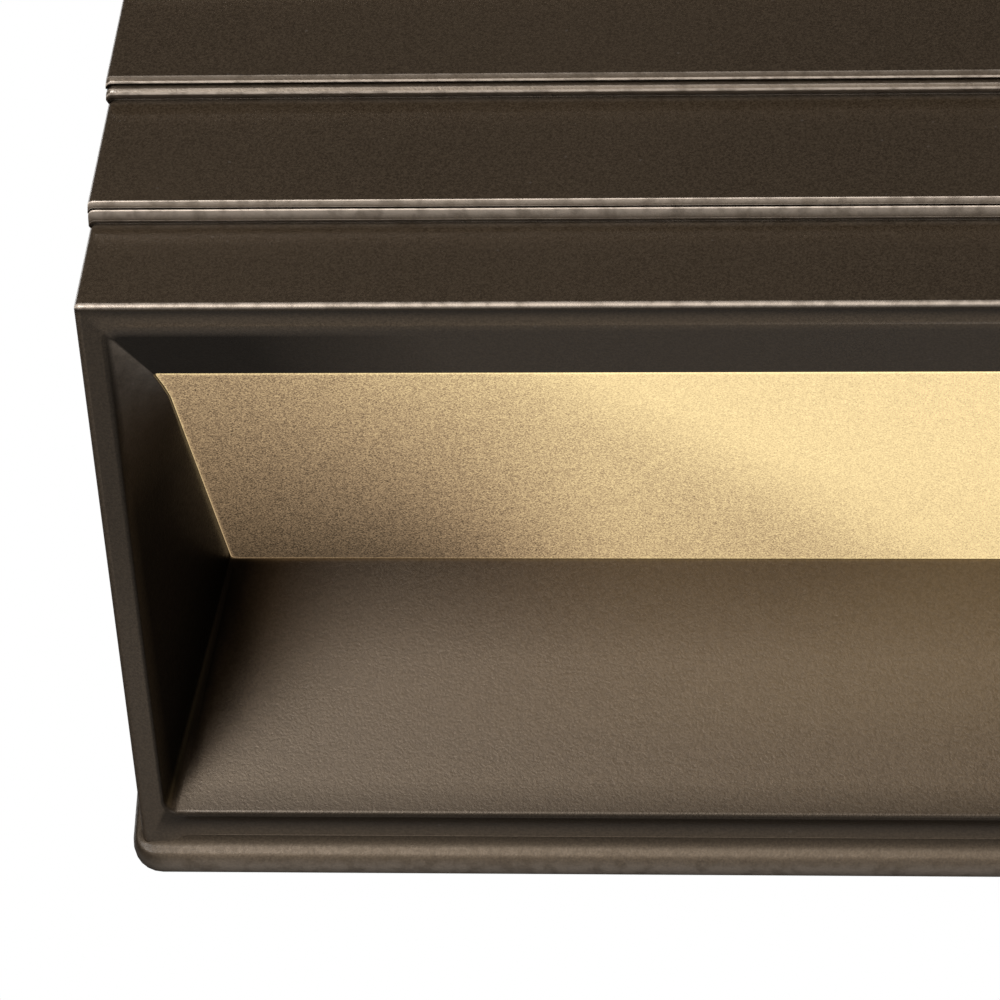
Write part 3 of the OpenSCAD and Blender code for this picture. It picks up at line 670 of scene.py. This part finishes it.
def make_flange():
    shell = Shell()

    def ring(side, out, depth, wear_and_light=0.0, shade=0.0):
        """A loop that stands out from the hood's walls, by side at its ends and by out elsewhere."""
        back = FLANGE_D - min(depth, FLANGE_D)
        low = -MOUTH_FALL + back * math.tan(MOUTH) - out
        high = roof_height(FLANGE_D) - back * math.tan(ROOF_SLOPE) + out
        radius = max(0.3, FLANGE_CORNER_R - FLANGE_EDGE + out)
        # The loop's ends at the hood's sides are painted dark, as painted shade.
        return [shell.point(p.x, depth, p.y, wear_and_light, max(shade, 0.7 - 0.7 * smooth(HALF - abs(p.x), -1, 4)))
                for p in rounded_loop(HALF + side, low, high, radius)]

    hole = rounded_loop(INNER + FLANGE_GAP, POCKET_LOW - FLANGE_GAP, POCKET_TOP + FLANGE_GAP, 0.0)
    front = FLANGE_D + 0.3
    loops = [[shell.point(p.x, FLANGE_BACK, p.y) for p in hole],
             [shell.point(p.x, front, p.y) for p in hole],
             ring(-FLANGE_BURIED, -FLANGE_BURIED, front),
             ring(-FLANGE_BURIED, -FLANGE_BURIED, FLANGE_D - FLANGE_BLEND)]
    # The blend out of the walls is painted dark, as painted shade, fading out towards the edge's foot.
    for t in spread(0, 1, BLEND_STEPS):
        out = FLANGE_ROOT + (FLANGE_FOOT - FLANGE_ROOT) * t
        loops.append(ring(out, out, FLANGE_D - FLANGE_BLEND * (1 - t) ** 2, 0.0, 0.7 * (1 - t)))
    for angle in spread(0, math.pi / 2, EDGE_STEPS)[1:]:
        across = math.sin(angle) ** SQUARER
        back = FLANGE_EDGE_T * (1 - max(0.0, math.cos(angle)) ** SQUARER)
        loops.append(ring(FLANGE_FOOT + (FLANGE_SIDE - FLANGE_FOOT) * across,
                          FLANGE_FOOT + (FLANGE_EDGE - FLANGE_FOOT) * across, FLANGE_D + back,
                          FLANGE_EDGE_LIGHT * smooth(math.degrees(angle), 15, 80)))
    loops.append(ring(FLANGE_SIDE - FLANGE_BACK_R, FLANGE_EDGE - FLANGE_BACK_R, FLANGE_BACK))
    loops.append(loops[0])
    shell.grid(loops, closed=True)
    return shell.finish("housing_flange")


# Lens: a stepped plate whose lower part fills the opening and whose upper part overlaps the ledge

LENS_BEVEL = 0.15
BEVEL_STEPS = 4
# Gap round the lower part in the opening, and how far the upper part stands out over the ledge
LENS_GAP = 0.12
LENS_OVERLAP = 1.5
# Heights of the step between the two parts and of the top, and the chamfer at each
LENS_STEP = CHAMBER_FLOOR + SEAL_T
LENS_TOP = LENS_STEP + LENS_T
LENS_STEP_R = 0.25
LENS_TOP_R = 0.3


def make_lens():
    shell = Shell()
    low = -OPENING_DROP

    def ring(inset, height, out=0.0, wear_and_light=0.0):
        half = OPENING_HALF + out - inset
        loop = rounded_loop(half, OPENING_FRONT - out + inset, BACK_WALL_D + out - inset, OPENING_R)
        return [shell.point(p.x, p.y, height, wear_and_light) for p in flared(loop)]

    # Its bevelled lower edge is marked for a painted line of glow.
    loops = [ring(LENS_GAP + LENS_BEVEL + 0.25, low), ring(LENS_GAP + LENS_BEVEL, low, wear_and_light=0.3)]
    for angle in spread(0, math.pi / 2, BEVEL_STEPS)[1:]:
        loops.append(ring(LENS_GAP + LENS_BEVEL * (1 - math.sin(angle)),
                          low + LENS_BEVEL * (1 - math.cos(angle)), wear_and_light=1.0))
    loops.append(ring(LENS_GAP, LENS_STEP - 0.02))
    loops.append(ring(LENS_STEP_R, LENS_STEP, out=LENS_OVERLAP))
    loops.append(ring(0.0, LENS_STEP + LENS_STEP_R, out=LENS_OVERLAP))
    loops.append(ring(0.0, LENS_TOP - LENS_TOP_R, out=LENS_OVERLAP))
    loops.append(ring(LENS_TOP_R, LENS_TOP, out=LENS_OVERLAP))
    shell.grid(loops, closed=True)
    shell.bm.faces.new(loops[0])
    shell.bm.faces.new(loops[-1])
    return shell.finish("lens_glass")


# Materials


class Paint:
    """A node material, built up a node at a time."""

    def __init__(self, name):
        self.material = bpy.data.materials.new(name)
        self.material.use_nodes = True
        self.nodes = self.material.node_tree.nodes
        self.links = self.material.node_tree.links
        self.shader = self.nodes["Principled BSDF"]
        self.where = self.add("ShaderNodeTexCoord").outputs["Object"]

    def add(self, kind, inputs=(), **settings):
        node = self.nodes.new(kind)
        for key, value in settings.items():
            setattr(node, key, value)
        for key, value in dict(inputs).items():
            self.feed(node.inputs[key], value)
        return node

    def feed(self, socket, value):
        if isinstance(value, bpy.types.NodeSocket):
            self.links.new(value, socket)
        else:
            socket.default_value = value

    def set(self, **values):
        for key, value in values.items():
            self.feed(self.shader.inputs[key.replace("_", " ")], value)

    def noise(self, scale, detail=2.0, rough=0.5, where=None):
        node = self.add("ShaderNodeTexNoise", {"Vector": where or self.where, "Scale": scale,
                                               "Detail": detail, "Roughness": rough})
        return node.outputs["Fac"]

    def math(self, operation, a, b=0.0, clamp=False):
        """An operation on two values, by the node's name for it."""
        return self.add("ShaderNodeMath", {0: a, 1: b}, operation=operation, use_clamp=clamp).outputs[0]

    def ramp(self, value, low, high, to_low=0.0, to_high=1.0, smooth=True):
        """Takes low to to_low and high to to_high, and holds both beyond."""
        node = self.add("ShaderNodeMapRange", {"Value": value, "From Min": low, "From Max": high,
                                               "To Min": to_low, "To Max": to_high})
        node.interpolation_type = "SMOOTHSTEP" if smooth else "LINEAR"
        return node.outputs["Result"]

    def mix(self, factor, a, b):
        node = self.add("ShaderNodeMix", data_type="RGBA")
        self.feed(node.inputs[0], factor)
        self.feed(node.inputs[6], a)
        self.feed(node.inputs[7], b)
        return node.outputs[2]

    def bump(self, height, distance, strength=1.0):
        node = self.add("ShaderNodeBump", {"Height": height, "Distance": distance, "Strength": strength})
        self.feed(self.shader.inputs["Normal"], node.outputs["Normal"])

    def axis(self, name):
        return self.add("ShaderNodeSeparateXYZ", {"Vector": self.where}).outputs[name]

    def vertex_layer(self, name):
        return self.add("ShaderNodeAttribute", attribute_name=name).outputs["Fac"]


def colour(r, g, b):
    return (r, g, b, 1.0)


# How much of its gloss a fully shaded place keeps
SHADED_GLOSS = 0.12


def bronze_coat(name="bronze_powder_coat", roughness=0.4, clear=0.45, tone=1.0):
    """Satin dark powder coat with fine grain. Its edges are rubbed light and carry painted highlights, some
    places are painted lighter as painted light, recesses and grooves are painted dark as painted shade, and
    a tone above 1 paints the whole coat lighter.
    """
    p = Paint(name)

    # A tone above 1 paints a lighter copy of the coat, as painted light.
    def coat(r, g, b):
        return colour(r * tone, g * tone, b * tone)

    wear_and_light = p.vertex_layer("wear_and_light")
    shade = p.vertex_layer("shade")
    fine = p.noise(5200, 2, 0.6)
    grain = p.noise(2300, 2, 0.6)
    cloud = p.noise(38, 3, 0.5)
    base = p.mix(p.ramp(cloud, 0.35, 0.65), coat(0.019, 0.0120, 0.0062), coat(0.024, 0.0156, 0.0086))
    base = p.mix(p.ramp(fine, 0.3, 0.7, 0.0, 0.9), base, coat(0.05, 0.035, 0.0215))
    specks = p.add("ShaderNodeTexVoronoi", {"Vector": p.where, "Scale": 420.0}).outputs["Distance"]
    base = p.mix(p.ramp(specks, 0.035, 0.06, 0.3, 0.0), base, colour(0.12, 0.10, 0.085))
    patches = p.ramp(p.noise(900, 2, 0.5), 0.3, 0.6, 0.5, 1.0)
    # Worn edges are rubbed light and also carry painted highlights and painted light, broken up in patches.
    rubbed_and_lit = p.math("MULTIPLY", wear_and_light, patches, clamp=True)
    base = p.mix(p.math("MULTIPLY", rubbed_and_lit, 0.8), base, colour(0.84, 0.71, 0.59))
    # Painted shade darkens the base and takes away most of the gloss.
    base = p.mix(shade, base, colour(0.004, 0.0035, 0.003))
    lit = p.ramp(shade, 0.0, 1.0, 1.0, SHADED_GLOSS, smooth=False)
    p.set(Base_Color=base, Roughness=p.ramp(grain, 0.3, 0.7, roughness - 0.04, roughness + 0.04),
          Specular_IOR_Level=p.math("MULTIPLY", lit, 0.85), Specular_Tint=colour(1.0, 0.8, 0.61),
          Coat_Weight=p.math("MULTIPLY", lit, clear), Coat_Roughness=0.16)
    p.bump(p.math("ADD", fine, p.math("MULTIPLY", grain, 0.3)), 0.00004, 0.4)
    return p.material


# The lamp's glow in the lens: where along the lens it starts and is full, in millimetres, its
# strength at the front edge before and after that, and at the back edge
GLOW_FROM = -64
GLOW_FULL = -30
FRONT_GLOW = (0.34, 0.70)
BACK_GLOW = (0.08, 0.58)
# The bright beam over the lamp: where its edge meets the lens' front edge, how far that edge
# moves along towards the back, half of its blur, and its strength
BEAM_FROM = -34.0
BEAM_SLANT = 23.0
BEAM_BLUR = 8.0
BEAM_GLOW = 0.27
MOST_GLOW = 0.91
# Strength of the painted glow along the lens' bevelled edge
EDGE_GLOW = 0.4


def etched_glass():
    """The lens, with the light of the lamp behind its middle painted on as glow, and with the grain of its
    etching.
    """
    p = Paint("etched_glass")
    x = p.math("MULTIPLY", p.axis("X"), 1 / MM)
    # Painted glow along the lens' bevelled edge, from the mesh's marks
    edge = p.vertex_layer("wear_and_light")
    grain = p.noise(9000, 2, 0.6)
    cloud = p.noise(90, 2, 0.5)
    # Depth behind the front edge, from 0 to 1, and how near the lamp the place is along the lens
    depth = p.ramp(p.axis("Y"), (NOSE_Y + OPENING_FRONT) * MM, (NOSE_Y + BACK_WALL_D) * MM, smooth=False)
    near = p.ramp(x, GLOW_FROM, GLOW_FULL)
    front = p.ramp(near, 0.0, 1.0, *FRONT_GLOW, smooth=False)
    back = p.ramp(p.math("POWER", near, 3.0), 0.0, 1.0, *BACK_GLOW, smooth=False)
    level = p.math("ADD", p.math("MULTIPLY", front, p.math("SUBTRACT", 1.0, depth)),
                   p.math("MULTIPLY", back, depth))
    in_beam = p.math("SUBTRACT", x, p.math("ADD", p.math("MULTIPLY", depth, BEAM_SLANT), BEAM_FROM))
    level = p.math("ADD", level, p.ramp(in_beam, -BEAM_BLUR, BEAM_BLUR, 0.0, BEAM_GLOW))
    level = p.math("MULTIPLY", level, p.ramp(cloud, 0.2, 0.8, 0.97, 1.03, smooth=False))
    level = p.math("MINIMUM", level, MOST_GLOW)
    # Etched grain, stronger where the glow is weak
    contrast = p.ramp(level, 0.1, 0.9, 5.72, 1.56, smooth=False)
    speck = p.math("MULTIPLY", p.math("SUBTRACT", grain, 0.5), contrast)
    level = p.math("MULTIPLY", level, p.math("ADD", speck, 1.0))
    level = p.math("MAXIMUM", p.math("ADD", level, p.math("MULTIPLY", edge, EDGE_GLOW)), 0.02)
    warm = p.mix(p.ramp(level, 0.1, 0.95), colour(1.0, 0.655, 0.36), colour(1.0, 0.765, 0.385))
    p.set(Base_Color=p.mix(p.ramp(grain, 0.3, 0.7), colour(0.05, 0.042, 0.03), colour(0.12, 0.1, 0.075)),
          Roughness=0.5, Specular_IOR_Level=0.3, Emission_Color=warm, Emission_Strength=level)
    p.bump(grain, 0.00003, 0.3)
    return p.material


def plated_steel(name, tint, grain_axis, rough):
    """Metal brushed along the axis whose grain scale is least."""
    p = Paint(name)
    squeeze = p.add("ShaderNodeMapping", {"Vector": p.where, "Scale": grain_axis})
    brushed = p.noise(900, 4, 0.6, squeeze.outputs["Vector"])
    cloud = p.noise(70, 3, 0.6)
    light = colour(*[min(1.0, c * 1.12) for c in tint])
    dark = colour(*[c * 0.78 for c in tint])
    base = p.mix(p.ramp(cloud, 0.3, 0.7), dark, light)
    p.set(Base_Color=base, Metallic=1.0, Roughness=p.ramp(brushed, 0.3, 0.7, rough - 0.08, rough + 0.1))
    p.bump(brushed, 0.00002, 0.4)
    return p.material


def moulded(name, tint, rough, scale=500, depth=0.00002):
    """Plastic or rubber with a faint grain from its mould."""
    p = Paint(name)
    grain = p.noise(scale, 3, 0.6)
    cloud = p.noise(45, 2, 0.5)
    base = p.mix(p.ramp(cloud, 0.3, 0.7), colour(*[c * 0.9 for c in tint]),
                 colour(*[min(1.0, c * 1.06) for c in tint]))
    p.set(Base_Color=base, Roughness=p.ramp(grain, 0.3, 0.7, rough - 0.06, rough + 0.08))
    p.bump(grain, depth, 0.5)
    return p.material


def closed_foam():
    p = Paint("foam_rubber")
    cells = p.add("ShaderNodeTexVoronoi", {"Vector": p.where, "Scale": 2600.0}).outputs["Distance"]
    base = p.mix(p.ramp(cells, 0.1, 0.6), colour(0.012, 0.012, 0.012), colour(0.032, 0.032, 0.033))
    p.set(Base_Color=base, Roughness=0.9)
    p.bump(cells, 0.00008, 0.8)
    return p.material


def lamp_clear():
    p = Paint("clear_glass")
    ripple = p.noise(160, 2, 0.5)
    p.set(Base_Color=p.mix(ripple, colour(0.97, 0.97, 0.96), colour(1, 1, 1)), Roughness=0.02,
          IOR=1.5, Transmission_Weight=0.95)
    p.bump(ripple, 0.00003, 0.2)
    return p.material


def hot_filament():
    p = Paint("filament")
    turns = p.noise(3000, 2, 0.5)
    p.set(Base_Color=p.mix(turns, colour(0.3, 0.25, 0.18), colour(0.6, 0.5, 0.35)), Metallic=0.6,
          Roughness=0.4, Emission_Color=colour(1.0, 0.72, 0.38), Emission_Strength=6.0)
    return p.material


FINISHES = {
    "bronze_powder_coat": bronze_coat(),
    "etched_glass": etched_glass(),
    "clear_glass": lamp_clear(),
    "foam_rubber": closed_foam(),
    "black_rubber": moulded("black_rubber", (0.014, 0.014, 0.014), 0.6),
    "zinc_steel": plated_steel("zinc_steel", (0.55, 0.55, 0.52), (1, 1, 14), 0.34),
    "spring_steel": plated_steel("spring_steel", (0.62, 0.61, 0.58), (1, 12, 1), 0.26),
    "screw_steel": plated_steel("screw_steel", (0.6, 0.6, 0.58), (8, 1, 8), 0.24),
    "rivet_aluminium": plated_steel("rivet_aluminium", (0.68, 0.68, 0.68), (1, 1, 1), 0.36),
    "bright_aluminium": plated_steel("bright_aluminium", (0.82, 0.82, 0.82), (1, 20, 20), 0.2),
    "ivory_plastic": moulded("ivory_plastic", (0.72, 0.69, 0.58), 0.4),
    "holder_plastic": moulded("holder_plastic", (0.74, 0.71, 0.62), 0.5),
    "white_insulation": moulded("white_insulation", (0.66, 0.66, 0.64), 0.42),
    "black_insulation": moulded("black_insulation", (0.012, 0.012, 0.012), 0.4),
    "brass": plated_steel("brass", (0.62, 0.43, 0.16), (1, 1, 10), 0.28),
    "lamp_wire": plated_steel("lamp_wire", (0.45, 0.45, 0.45), (1, 1, 1), 0.3),
    "filament": hot_filament(),
    "black_oxide": plated_steel("black_oxide", (0.035, 0.034, 0.036), (6, 1, 1), 0.38),
}


def paint_nodes():
    for row in frame["record"]["subparts"]:
        for material_slot in frame["nodes"][row["node"]].material_slots:
            material_slot.material = FINISHES[row["material_slot"]]


def dress(piece, slot, node, finish=None):
    """Paints a piece of the hood, which shows in place of a CAD node."""
    piece.data.materials.append(finish or FINISHES[slot])
    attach(piece, "hood")
    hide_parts(node)


paint_nodes()
# The coat lies thicker and duller on the flange, and this copy of it is painted one and a half times
# lighter, as painted light
dull_lit_coat = bronze_coat("bronze_powder_coat_dull_lit", 0.54, 0.1, 1.5)
dress(make_housing(), "bronze_powder_coat", "louvered_housing")
dress(make_flange(), "bronze_powder_coat", "louvered_housing", dull_lit_coat)
dress(make_lens(), "etched_glass", "lens")

# Studio, with lengths in metres

# Strength of the white backdrop in mirrors, which see the dark side of a studio instead
MIRRORED_WHITE = 0.05
WORLD_LIGHT = 0.012
# Strength of the floor as the camera sees it, and its height and half width
FLOOR_WHITE = 0.8
FLOOR_Z = -0.9
FLOOR_REACH = 6.0
# Depth behind the nose of the place that the lamps face
LIT_DEPTH = 22


def make_world():
    """White to the camera and through glass, and dim as the light that falls on the part."""
    world = bpy.data.worlds.new("studio")
    scene.world = world
    world.use_nodes = True
    nodes = world.node_tree.nodes
    links = world.node_tree.links
    plain = nodes["Background"]
    plain.inputs["Color"].default_value = colour(0.9, 0.93, 1.0)
    plain.inputs["Strength"].default_value = WORLD_LIGHT
    white = nodes.new("ShaderNodeBackground")
    white.inputs["Color"].default_value = colour(1, 1, 1)
    white.inputs["Strength"].default_value = 1.0
    path = nodes.new("ShaderNodeLightPath")
    seen = nodes.new("ShaderNodeMath")
    seen.operation = "MAXIMUM"
    links.new(path.outputs["Is Camera Ray"], seen.inputs[0])
    links.new(path.outputs["Is Transmission Ray"], seen.inputs[1])
    shown = nodes.new("ShaderNodeMath")
    shown.operation = "MULTIPLY_ADD"
    links.new(path.outputs["Is Glossy Ray"], shown.inputs[0])
    shown.inputs[1].default_value = MIRRORED_WHITE
    links.new(seen.outputs[0], shown.inputs[2])
    both = nodes.new("ShaderNodeMixShader")
    links.new(shown.outputs[0], both.inputs[0])
    links.new(plain.outputs[0], both.inputs[1])
    links.new(white.outputs[0], both.inputs[2])
    links.new(both.outputs[0], nodes["World Output"].inputs["Surface"])


def make_floor():
    mesh = bpy.data.meshes.new("floor")
    corners = ((-1, -1), (1, -1), (1, 1), (-1, 1))
    mesh.from_pydata([(x * FLOOR_REACH, y * FLOOR_REACH, FLOOR_Z) for x, y in corners], [], [(0, 1, 2, 3)])
    floor = bpy.data.objects.new("floor", mesh)
    scene.collection.objects.link(floor)
    p = Paint("floor")
    p.set(Base_Color=p.mix(p.noise(3, 2, 0.5), colour(0.78, 0.78, 0.78), colour(0.82, 0.82, 0.82)),
          Roughness=0.8)
    path = p.add("ShaderNodeLightPath").outputs
    direct = p.math("MAXIMUM", path["Is Camera Ray"], path["Is Transmission Ray"])
    seen = p.math("ADD", p.math("MULTIPLY", direct, FLOOR_WHITE),
                  p.math("MULTIPLY", path["Is Glossy Ray"], MIRRORED_WHITE))
    p.set(Emission_Color=colour(0.95, 0.95, 0.95), Emission_Strength=seen)
    floor.data.materials.append(p.material)


def lamp(name, turn, rise, distance, width, height, power):
    """A soft panel that faces the hood, turned to the right of straight ahead of it, in degrees."""
    light = bpy.data.lights.new(name, "AREA")
    light.shape = "RECTANGLE"
    light.size = width
    light.size_y = height
    light.energy = power
    a, e = math.radians(turn), math.radians(rise)
    away = Vector((math.sin(a) * math.cos(e), -math.cos(a) * math.cos(e), math.sin(e)))
    panel = bpy.data.objects.new(name, light)
    panel.location = place(0, LIT_DEPTH, 0) + away * distance
    panel.rotation_mode = "QUATERNION"
    panel.rotation_quaternion = away.to_track_quat("Z", "Y")
    scene.collection.objects.link(panel)


make_world()
make_floor()
lamp("key", -26, 0, 0.7, 0.2, 0.3, 5.4)
lamp("low", 10, -45, 0.7, 0.3, 0.3, 0.4)
lamp("behind_right", 115, 20, 0.9, 0.4, 0.4, 1.6)
lamp("behind_left", -125, 25, 0.9, 0.4, 0.4, 1.2)
lamp("above_behind", 170, 50, 0.9, 0.5, 0.5, 3.0)

scene.view_settings.view_transform = "Standard"
